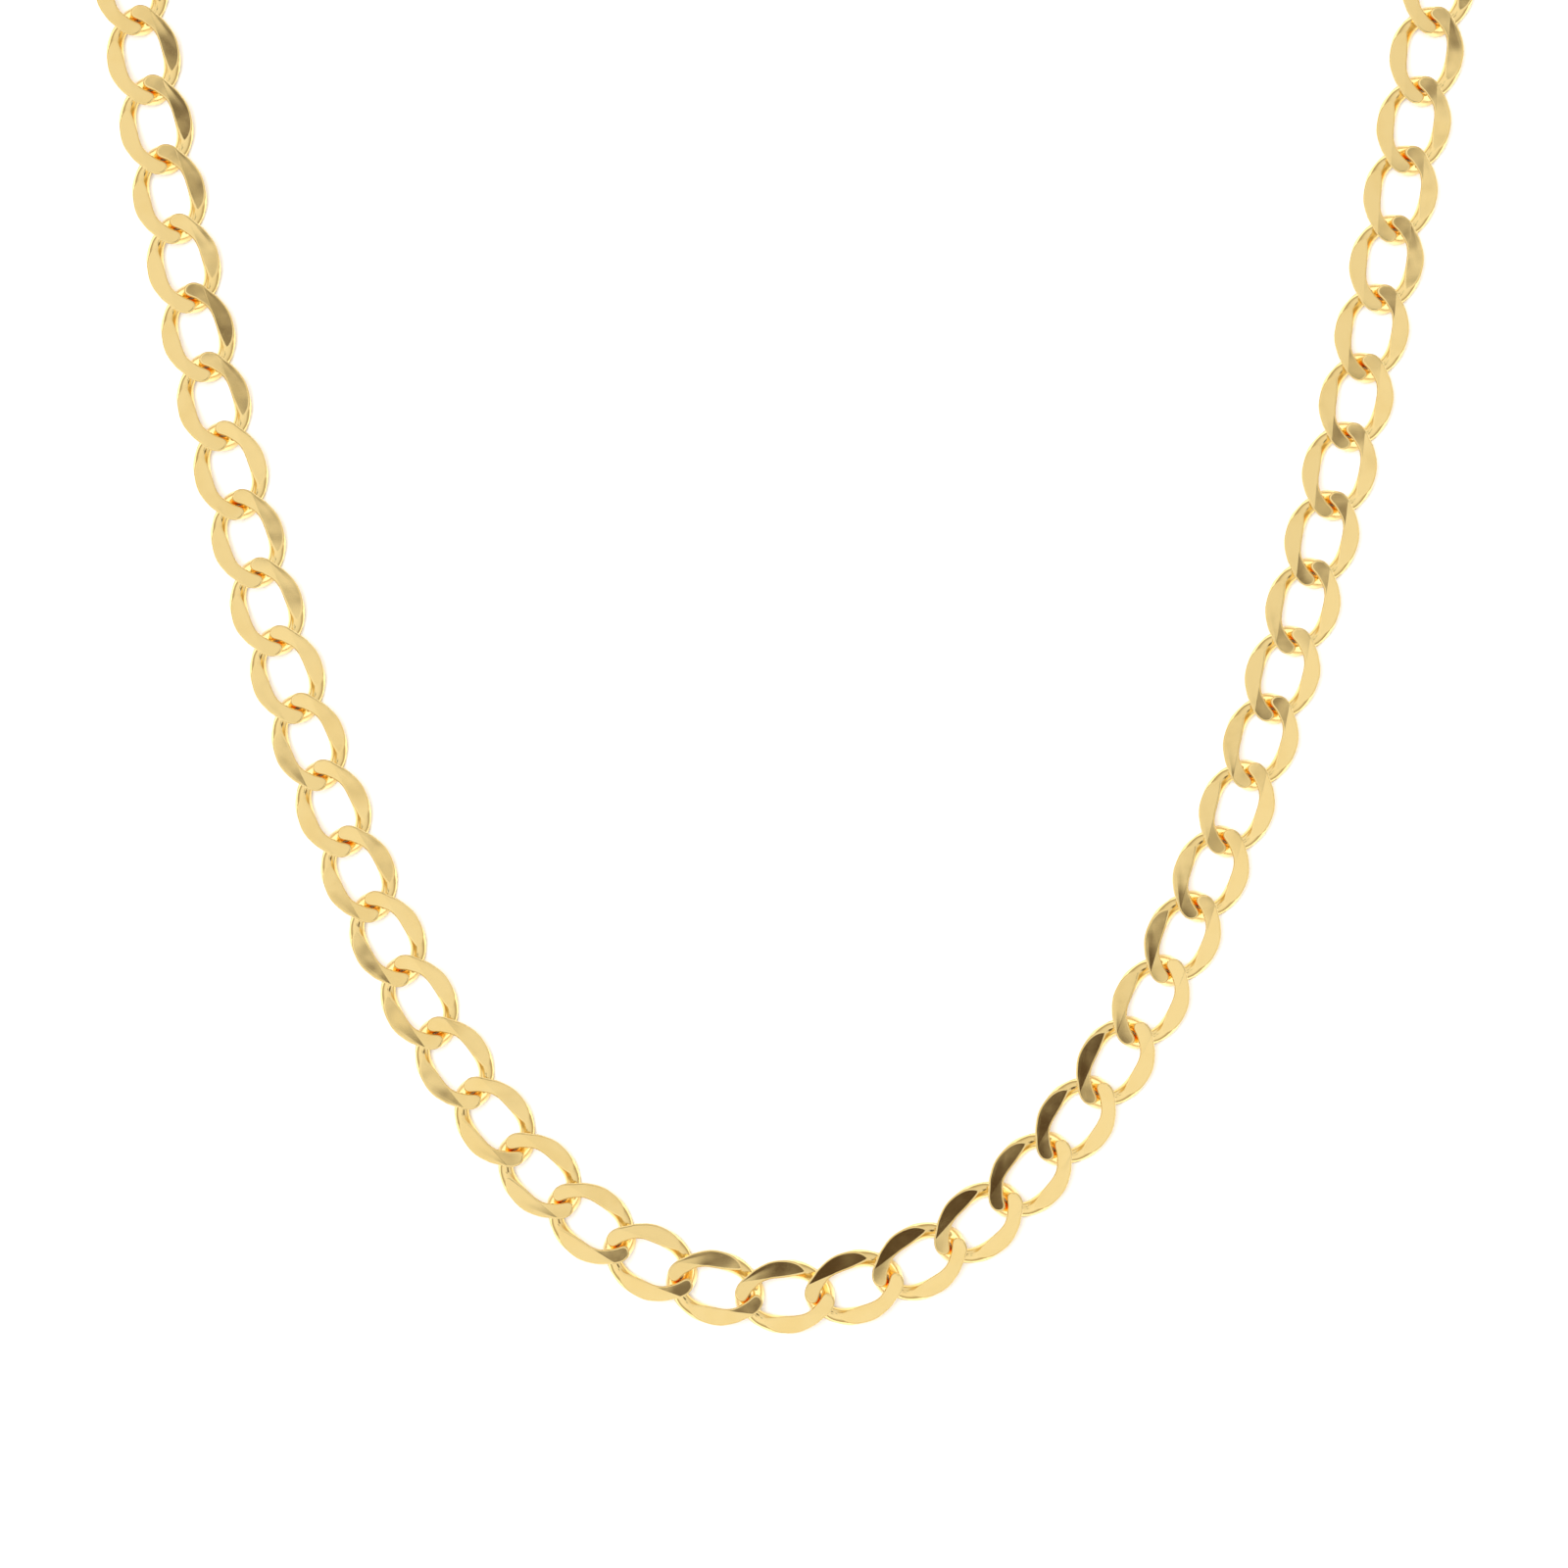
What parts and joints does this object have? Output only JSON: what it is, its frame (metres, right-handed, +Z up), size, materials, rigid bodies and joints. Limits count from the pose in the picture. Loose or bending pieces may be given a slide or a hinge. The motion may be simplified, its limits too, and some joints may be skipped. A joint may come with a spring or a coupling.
{
  "type": "chain necklace",
  "caption": "Flat curb-link chain necklace laid open in a U, with end rings and a sprung lobster clasp.",
  "frame": {"origin": "centre of the underside of the overall box: the chain lies on the table at z = 0", "axes": "+Z up from the table through the chain thickness; +Y from the bottom of the U towards its open end; +X to the wearer-view right, away from the clasp side"},
  "size_m": [0.149, 0.2078, 0.0031],
  "materials": {
    "gold": "polished yellow gold plate",
    "gold_clasp": "polished yellow gold plate",
    "spring_steel": "bright drawn steel"
  },
  "bodies": {
    "link_centre": {"link_centre": "gold"},
    "link_left_01": {"link_left_01": "gold"},
    "link_left_02": {"link_left_02": "gold"},
    "link_left_03": {"link_left_03": "gold"},
    "link_left_04": {"link_left_04": "gold"},
    "link_left_05": {"link_left_05": "gold"},
    "link_left_06": {"link_left_06": "gold"},
    "link_left_07": {"link_left_07": "gold"},
    "link_left_08": {"link_left_08": "gold"},
    "link_left_09": {"link_left_09": "gold"},
    "link_left_10": {"link_left_10": "gold"},
    "link_left_11": {"link_left_11": "gold"},
    "link_left_12": {"link_left_12": "gold"},
    "link_left_13": {"link_left_13": "gold"},
    "link_left_14": {"link_left_14": "gold"},
    "link_left_15": {"link_left_15": "gold"},
    "link_left_16": {"link_left_16": "gold"},
    "link_left_17": {"link_left_17": "gold"},
    "link_left_18": {"link_left_18": "gold"},
    "link_left_19": {"link_left_19": "gold"},
    "link_left_20": {"link_left_20": "gold"},
    "link_left_21": {"link_left_21": "gold"},
    "link_pair_left_01": {"link_pair_left_01": "gold"},
    "link_pair_left_02": {"link_pair_left_02": "gold"},
    "link_pair_left_03": {"link_pair_left_03": "gold"},
    "link_pair_left_04": {"link_pair_left_04": "gold"},
    "link_pair_left_05": {"link_pair_left_05": "gold"},
    "clasp_ring": {"clasp_ring": "gold_clasp"},
    "clasp": {"clasp_body": "gold_clasp", "clasp_pin": "spring_steel", "clasp_spring": "spring_steel"},
    "link_right_01": {"link_right_01": "gold"},
    "link_right_02": {"link_right_02": "gold"},
    "link_right_03": {"link_right_03": "gold"},
    "link_right_04": {"link_right_04": "gold"},
    "link_right_05": {"link_right_05": "gold"},
    "link_right_06": {"link_right_06": "gold"},
    "link_right_07": {"link_right_07": "gold"},
    "link_right_08": {"link_right_08": "gold"},
    "link_right_09": {"link_right_09": "gold"},
    "link_right_10": {"link_right_10": "gold"},
    "link_right_11": {"link_right_11": "gold"},
    "link_right_12": {"link_right_12": "gold"},
    "link_right_13": {"link_right_13": "gold"},
    "link_right_14": {"link_right_14": "gold"},
    "link_right_15": {"link_right_15": "gold"},
    "link_right_16": {"link_right_16": "gold"},
    "link_right_17": {"link_right_17": "gold"},
    "link_right_18": {"link_right_18": "gold"},
    "link_right_19": {"link_right_19": "gold"},
    "link_right_20": {"link_right_20": "gold"},
    "link_right_21": {"link_right_21": "gold"},
    "link_right_22": {"link_right_22": "gold"},
    "link_pair_right_01": {"link_pair_right_01": "gold"},
    "link_pair_right_02": {"link_pair_right_02": "gold"},
    "link_pair_right_03": {"link_pair_right_03": "gold"},
    "link_pair_right_04": {"link_pair_right_04": "gold"},
    "link_pair_right_05": {"link_pair_right_05": "gold"},
    "end_ring": {"end_ring": "gold_clasp"},
    "clasp_lever": {"clasp_lever": "gold_clasp"}
  },
  "joints": [
    {"name": "bend_left_01", "type": "hinge", "parent": "link_centre", "child": "link_left_01", "pos_m": [-0.00242, -0.10041, 0.001], "axis": [0, 0, 1], "range_deg": [-1.05, 30.95]},
    {"name": "lift_left_02", "type": "hinge", "parent": "link_left_01", "child": "link_left_02", "pos_m": [-0.0088, -0.09871, 0.001], "axis": [0.3669, 0.9302, 0], "range_deg": [-18, 18]},
    {"name": "bend_left_03", "type": "hinge", "parent": "link_left_02", "child": "link_left_03", "pos_m": [-0.01462, -0.0956, 0.001], "axis": [0, 0, -1], "range_deg": [-26.59, 5.41]},
    {"name": "lift_left_04", "type": "hinge", "parent": "link_left_03", "child": "link_left_04", "pos_m": [-0.01977, -0.09147, 0.001], "axis": [-0.6793, -0.7338, 0], "range_deg": [-18, 18]},
    {"name": "bend_left_05", "type": "hinge", "parent": "link_left_04", "child": "link_left_05", "pos_m": [-0.02428, -0.08666, 0.001], "axis": [0, 0, 1], "range_deg": [-9.72, 22.28]},
    {"name": "lift_left_06", "type": "hinge", "parent": "link_left_05", "child": "link_left_06", "pos_m": [-0.02824, -0.08137, 0.001], "axis": [0.8251, 0.565, 0], "range_deg": [-18, 18]},
    {"name": "bend_left_07", "type": "hinge", "parent": "link_left_06", "child": "link_left_07", "pos_m": [-0.03173, -0.07577, 0.001], "axis": [0, 0, -1], "range_deg": [-19.82, 12.18]},
    {"name": "lift_left_08", "type": "hinge", "parent": "link_left_07", "child": "link_left_08", "pos_m": [-0.03485, -0.06995, 0.001], "axis": [-0.894, -0.448, 0], "range_deg": [-18, 18]},
    {"name": "bend_left_09", "type": "hinge", "parent": "link_left_08", "child": "link_left_09", "pos_m": [-0.03764, -0.06398, 0.001], "axis": [0, 0, 1], "range_deg": [-13.51, 18.49]},
    {"name": "lift_left_10", "type": "hinge", "parent": "link_left_09", "child": "link_left_10", "pos_m": [-0.04018, -0.05788, 0.001], "axis": [0.93, 0.3675, 0], "range_deg": [-18, 18]},
    {"name": "bend_left_11", "type": "hinge", "parent": "link_left_10", "child": "link_left_11", "pos_m": [-0.04249, -0.0517, 0.001], "axis": [0, 0, -1], "range_deg": [-17.73, 14.27]},
    {"name": "lift_left_12", "type": "hinge", "parent": "link_left_11", "child": "link_left_12", "pos_m": [-0.04462, -0.04546, 0.001], "axis": [-0.9507, -0.3101, 0], "range_deg": [-18, 18]},
    {"name": "bend_left_13", "type": "hinge", "parent": "link_left_12", "child": "link_left_13", "pos_m": [-0.04659, -0.03915, 0.001], "axis": [0, 0, 1], "range_deg": [-14.74, 17.26]},
    {"name": "lift_left_14", "type": "hinge", "parent": "link_left_13", "child": "link_left_14", "pos_m": [-0.04841, -0.03281, 0.001], "axis": [0.9635, 0.2676, 0], "range_deg": [-18, 18]},
    {"name": "bend_left_15", "type": "hinge", "parent": "link_left_14", "child": "link_left_15", "pos_m": [-0.05012, -0.02644, 0.001], "axis": [0, 0, -1], "range_deg": [-16.96, 15.04]},
    {"name": "lift_left_16", "type": "hinge", "parent": "link_left_15", "child": "link_left_16", "pos_m": [-0.05172, -0.02003, 0.001], "axis": [-0.972, -0.2351, 0], "range_deg": [-18, 18]},
    {"name": "bend_left_17", "type": "hinge", "parent": "link_left_16", "child": "link_left_17", "pos_m": [-0.05322, -0.01361, 0.001], "axis": [0, 0, 1], "range_deg": [-15.25, 16.75]},
    {"name": "lift_left_18", "type": "hinge", "parent": "link_left_17", "child": "link_left_18", "pos_m": [-0.05464, -0.00716, 0.001], "axis": [0.9778, 0.2094, 0], "range_deg": [-18, 18]},
    {"name": "bend_left_19", "type": "hinge", "parent": "link_left_18", "child": "link_left_19", "pos_m": [-0.05599, -0.0007, 0.001], "axis": [0, 0, -1], "range_deg": [-16.6, 15.4]},
    {"name": "lift_left_20", "type": "hinge", "parent": "link_left_19", "child": "link_left_20", "pos_m": [-0.05726, 0.00578, 0.001], "axis": [-0.982, -0.1887, 0], "range_deg": [-18, 18]},
    {"name": "bend_left_21", "type": "hinge", "parent": "link_left_20", "child": "link_left_21", "pos_m": [-0.05848, 0.01226, 0.001], "axis": [0, 0, 1], "range_deg": [-15.51, 16.49]},
    {"name": "lift_left_22", "type": "hinge", "parent": "link_left_21", "child": "link_pair_left_01", "pos_m": [-0.05964, 0.01876, 0.001], "axis": [0.9855, 0.1699, 0], "range_deg": [-18, 18]},
    {"name": "bend_left_23", "type": "hinge", "parent": "link_pair_left_01", "child": "link_pair_left_02", "pos_m": [-0.0618, 0.03178, 0.001], "axis": [0, 0, -1], "range_deg": [-16.76, 15.24]},
    {"name": "lift_left_24", "type": "hinge", "parent": "link_pair_left_02", "child": "link_pair_left_03", "pos_m": [-0.0638, 0.04483, 0.001], "axis": [-0.9894, -0.1455, 0], "range_deg": [-18, 18]},
    {"name": "bend_left_25", "type": "hinge", "parent": "link_pair_left_03", "child": "link_pair_left_04", "pos_m": [-0.06565, 0.0579, 0.001], "axis": [0, 0, 1], "range_deg": [-15.44, 16.56]},
    {"name": "lift_left_26", "type": "hinge", "parent": "link_pair_left_04", "child": "link_pair_left_05", "pos_m": [-0.06737, 0.07099, 0.001], "axis": [0.992, 0.1261, 0], "range_deg": [-18, 18]},
    {"name": "bend_left_27", "type": "hinge", "parent": "link_pair_left_05", "child": "clasp_ring", "pos_m": [-0.06897, 0.08409, 0.001], "axis": [0, 0, -1], "range_deg": [-16.33, 15.67]},
    {"name": "clasp_swing", "type": "hinge", "parent": "clasp_ring", "child": "clasp", "pos_m": [-0.06943, 0.08796, 0.001], "axis": [-0.9932, -0.1162, 0], "range_deg": [-20, 30]},
    {"name": "bend_right_01", "type": "hinge", "parent": "link_centre", "child": "link_right_01", "pos_m": [0.00418, -0.10041, 0.001], "axis": [0, 0, 1], "range_deg": [-30.95, 1.05]},
    {"name": "lift_right_02", "type": "hinge", "parent": "link_right_01", "child": "link_right_02", "pos_m": [0.01056, -0.09871, 0.001], "axis": [-0.3669, 0.9302, 0], "range_deg": [-18, 18]},
    {"name": "bend_right_03", "type": "hinge", "parent": "link_right_02", "child": "link_right_03", "pos_m": [0.01638, -0.0956, 0.001], "axis": [0, 0, -1], "range_deg": [-5.41, 26.59]},
    {"name": "lift_right_04", "type": "hinge", "parent": "link_right_03", "child": "link_right_04", "pos_m": [0.02153, -0.09147, 0.001], "axis": [0.6793, -0.7338, 0], "range_deg": [-18, 18]},
    {"name": "bend_right_05", "type": "hinge", "parent": "link_right_04", "child": "link_right_05", "pos_m": [0.02604, -0.08666, 0.001], "axis": [0, 0, 1], "range_deg": [-22.28, 9.72]},
    {"name": "lift_right_06", "type": "hinge", "parent": "link_right_05", "child": "link_right_06", "pos_m": [0.03, -0.08137, 0.001], "axis": [-0.8251, 0.565, 0], "range_deg": [-18, 18]},
    {"name": "bend_right_07", "type": "hinge", "parent": "link_right_06", "child": "link_right_07", "pos_m": [0.03349, -0.07577, 0.001], "axis": [0, 0, -1], "range_deg": [-12.18, 19.82]},
    {"name": "lift_right_08", "type": "hinge", "parent": "link_right_07", "child": "link_right_08", "pos_m": [0.0366, -0.06995, 0.001], "axis": [0.894, -0.448, 0], "range_deg": [-18, 18]},
    {"name": "bend_right_09", "type": "hinge", "parent": "link_right_08", "child": "link_right_09", "pos_m": [0.0394, -0.06398, 0.001], "axis": [0, 0, 1], "range_deg": [-18.49, 13.51]},
    {"name": "lift_right_10", "type": "hinge", "parent": "link_right_09", "child": "link_right_10", "pos_m": [0.04194, -0.05788, 0.001], "axis": [-0.93, 0.3675, 0], "range_deg": [-18, 18]},
    {"name": "bend_right_11", "type": "hinge", "parent": "link_right_10", "child": "link_right_11", "pos_m": [0.04425, -0.0517, 0.001], "axis": [0, 0, -1], "range_deg": [-14.27, 17.73]},
    {"name": "lift_right_12", "type": "hinge", "parent": "link_right_11", "child": "link_right_12", "pos_m": [0.04638, -0.04546, 0.001], "axis": [0.9507, -0.3101, 0], "range_deg": [-18, 18]},
    {"name": "bend_right_13", "type": "hinge", "parent": "link_right_12", "child": "link_right_13", "pos_m": [0.04835, -0.03915, 0.001], "axis": [0, 0, 1], "range_deg": [-17.26, 14.74]},
    {"name": "lift_right_14", "type": "hinge", "parent": "link_right_13", "child": "link_right_14", "pos_m": [0.05017, -0.03281, 0.001], "axis": [-0.9635, 0.2676, 0], "range_deg": [-18, 18]},
    {"name": "bend_right_15", "type": "hinge", "parent": "link_right_14", "child": "link_right_15", "pos_m": [0.05188, -0.02644, 0.001], "axis": [0, 0, -1], "range_deg": [-15.04, 16.96]},
    {"name": "lift_right_16", "type": "hinge", "parent": "link_right_15", "child": "link_right_16", "pos_m": [0.05348, -0.02003, 0.001], "axis": [0.972, -0.2351, 0], "range_deg": [-18, 18]},
    {"name": "bend_right_17", "type": "hinge", "parent": "link_right_16", "child": "link_right_17", "pos_m": [0.05498, -0.01361, 0.001], "axis": [0, 0, 1], "range_deg": [-16.75, 15.25]},
    {"name": "lift_right_18", "type": "hinge", "parent": "link_right_17", "child": "link_right_18", "pos_m": [0.0564, -0.00716, 0.001], "axis": [-0.9778, 0.2094, 0], "range_deg": [-18, 18]},
    {"name": "bend_right_19", "type": "hinge", "parent": "link_right_18", "child": "link_right_19", "pos_m": [0.05775, -0.0007, 0.001], "axis": [0, 0, -1], "range_deg": [-15.4, 16.6]},
    {"name": "lift_right_20", "type": "hinge", "parent": "link_right_19", "child": "link_right_20", "pos_m": [0.05902, 0.00578, 0.001], "axis": [0.982, -0.1887, 0], "range_deg": [-18, 18]},
    {"name": "bend_right_21", "type": "hinge", "parent": "link_right_20", "child": "link_right_21", "pos_m": [0.06024, 0.01226, 0.001], "axis": [0, 0, 1], "range_deg": [-16.49, 15.51]},
    {"name": "lift_right_22", "type": "hinge", "parent": "link_right_21", "child": "link_right_22", "pos_m": [0.0614, 0.01876, 0.001], "axis": [-0.9852, 0.1717, 0], "range_deg": [-18, 18]},
    {"name": "bend_right_23", "type": "hinge", "parent": "link_right_22", "child": "link_pair_right_01", "pos_m": [0.0625, 0.02527, 0.001], "axis": [0, 0, -1], "range_deg": [-15.39, 16.61]},
    {"name": "lift_right_24", "type": "hinge", "parent": "link_pair_right_01", "child": "link_pair_right_02", "pos_m": [0.06458, 0.0383, 0.001], "axis": [0.9885, -0.1513, 0], "range_deg": [-18, 18]},
    {"name": "bend_right_25", "type": "hinge", "parent": "link_pair_right_02", "child": "link_pair_right_03", "pos_m": [0.0665, 0.05136, 0.001], "axis": [0, 0, 1], "range_deg": [-16.6, 15.4]},
    {"name": "lift_right_26", "type": "hinge", "parent": "link_pair_right_03", "child": "link_pair_right_04", "pos_m": [0.06828, 0.06444, 0.001], "axis": [-0.9915, 0.1304, 0], "range_deg": [-18, 18]},
    {"name": "bend_right_27", "type": "hinge", "parent": "link_pair_right_04", "child": "link_pair_right_05", "pos_m": [0.06994, 0.07754, 0.001], "axis": [0, 0, -1], "range_deg": [-15.55, 16.45]},
    {"name": "bend_right_28", "type": "hinge", "parent": "link_pair_right_05", "child": "end_ring", "pos_m": [0.0715, 0.09064, 0.001], "axis": [0, 0, -1], "range_deg": [-15.69, 16.31]},
    {"name": "lever_open", "type": "hinge", "parent": "clasp", "child": "clasp_lever", "pos_m": [-0.06865, 0.0951, 0.0014], "axis": [0, 0, 1], "range_deg": [0, 24], "stiffness_Nm_per_rad": 0.006, "springref_deg": -20.05, "deforming": ["clasp_spring"]}
  ]
}
